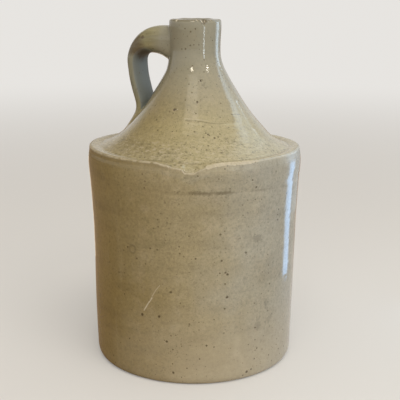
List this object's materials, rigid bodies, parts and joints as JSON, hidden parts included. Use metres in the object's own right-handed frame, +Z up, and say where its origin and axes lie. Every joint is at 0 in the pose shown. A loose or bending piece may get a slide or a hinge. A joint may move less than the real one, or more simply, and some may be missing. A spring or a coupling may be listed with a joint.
{
  "type": "stoneware jug",
  "caption": "Tall round salt-glazed stoneware jug with a straight drum body, a flat shoulder ledge, a coned top, a narrow open neck and a strap handle.",
  "frame": {"origin": "centre of the base, on the surface that the jug stands on", "axes": "+Z up along the body's axis; the strap handle lies in the XZ plane on the -X side; -Y is the side that the handle's finger gap faces"},
  "size_m": [0.1786, 0.1786, 0.284],
  "materials": {
    "salt_glazed_stoneware": "grey-olive salt glaze, glossy and speckled with brown iron spots, worn pale along the rim"
  },
  "bodies": {
    "root": {"jug": "salt_glazed_stoneware"}
  },
  "joints": []
}
